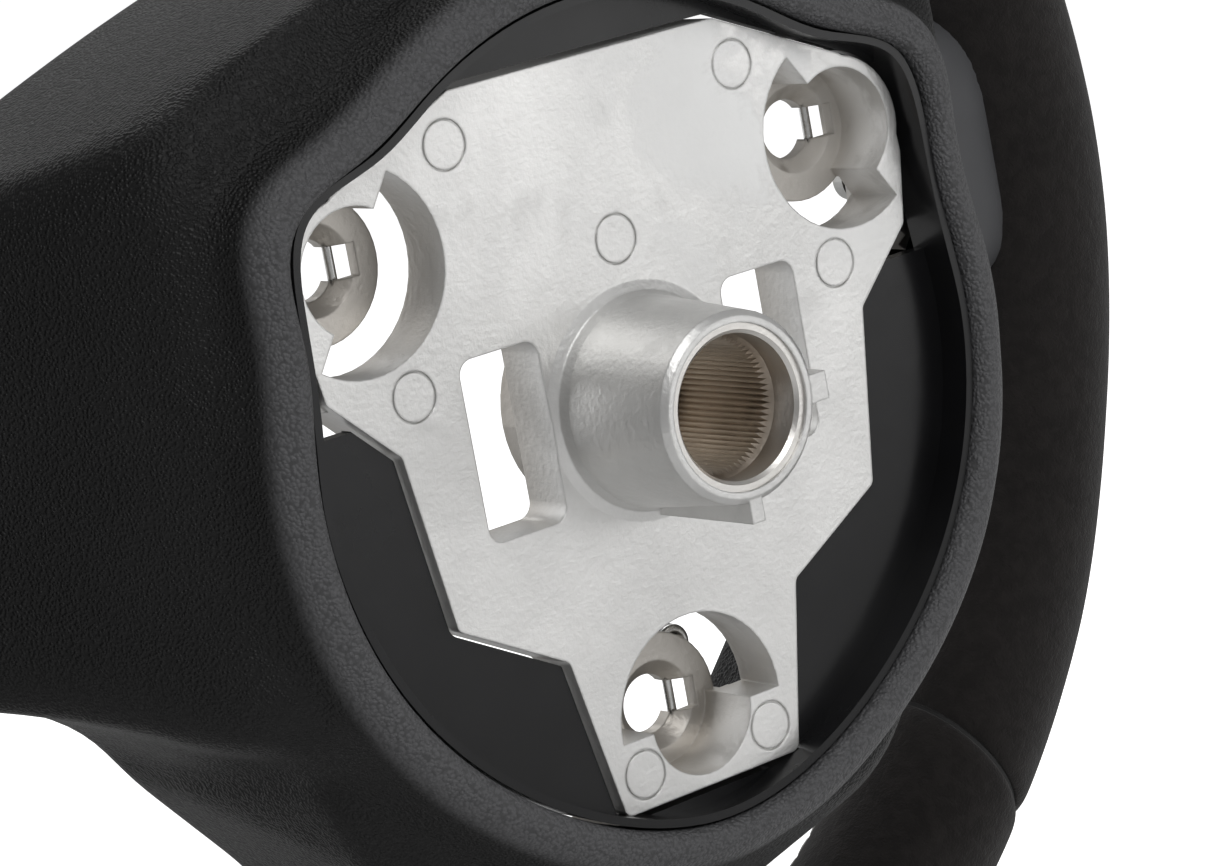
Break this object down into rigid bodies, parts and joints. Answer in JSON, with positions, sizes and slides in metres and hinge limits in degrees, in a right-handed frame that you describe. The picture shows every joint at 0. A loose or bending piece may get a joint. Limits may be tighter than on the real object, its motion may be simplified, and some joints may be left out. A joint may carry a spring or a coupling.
{
  "type": "steering wheel",
  "caption": "Bare three-spoke sports steering wheel with a suede grip, cast hub plate, splined boss and sprung latches for a driver module.",
  "frame": {"origin": "centre of the hub plate's rear face, on the column axis", "axes": "+Y to the rear along the column axis, towards the steering column; +Z to twelve o'clock; +X to the driver's right"},
  "size_m": [0.3632, 0.1301, 0.3632],
  "materials": {
    "cast_alloy": "matte cast",
    "spline_steel": "machined, lightly tarnished",
    "ring_steel": "mill finish",
    "foam": "matte",
    "suede": "brushed nap",
    "thread": "twisted thread",
    "grained_plastic": "leather grain",
    "smooth_plastic": "satin",
    "satin_grey": "satin",
    "spring_steel": "bright",
    "screw_steel": "zinc"
  },
  "bodies": {
    "wheel": {"hub_armature": "cast_alloy", "hub_liner": "smooth_plastic", "latch_clips": "spring_steel", "left_trim_front": "satin_grey", "left_trim_rear": "satin_grey", "lower_trim_front": "satin_grey", "lower_trim_rear": "satin_grey", "rear_shell": "grained_plastic", "right_trim_front": "satin_grey", "right_trim_rear": "satin_grey", "rim_core_tube": "ring_steel", "rim_foam": "foam", "rim_stitching": "thread", "shell_screws": "screw_steel", "splined_sleeve": "spline_steel", "suede_cover_bottom": "suede", "suede_cover_left": "suede", "suede_cover_right": "suede", "suede_cover_top": "suede", "trim_screws": "screw_steel"},
    "left_latch": {"left_latch_spring": "spring_steel"},
    "right_latch": {"right_latch_spring": "spring_steel"},
    "lower_latch": {"lower_latch_spring": "spring_steel"}
  },
  "joints": [
    {"name": "left_latch_swing", "type": "hinge", "parent": "wheel", "child": "left_latch", "pos_m": [-0.0577, -0.0154, 0.04145], "axis": [0, 1, 0], "range_deg": [0, 8], "stiffness_Nm_per_rad": 0.02, "springref_deg": -11.46},
    {"name": "right_latch_swing", "type": "hinge", "parent": "wheel", "child": "right_latch", "pos_m": [0.0419, -0.0154, 0.04145], "axis": [0, 1, 0], "range_deg": [0, 8], "stiffness_Nm_per_rad": 0.02, "springref_deg": -11.46},
    {"name": "lower_latch_swing", "type": "hinge", "parent": "wheel", "child": "lower_latch", "pos_m": [-0.0079, -0.0154, -0.0448], "axis": [0, 1, 0], "range_deg": [0, 8], "stiffness_Nm_per_rad": 0.02, "springref_deg": -11.46}
  ]
}
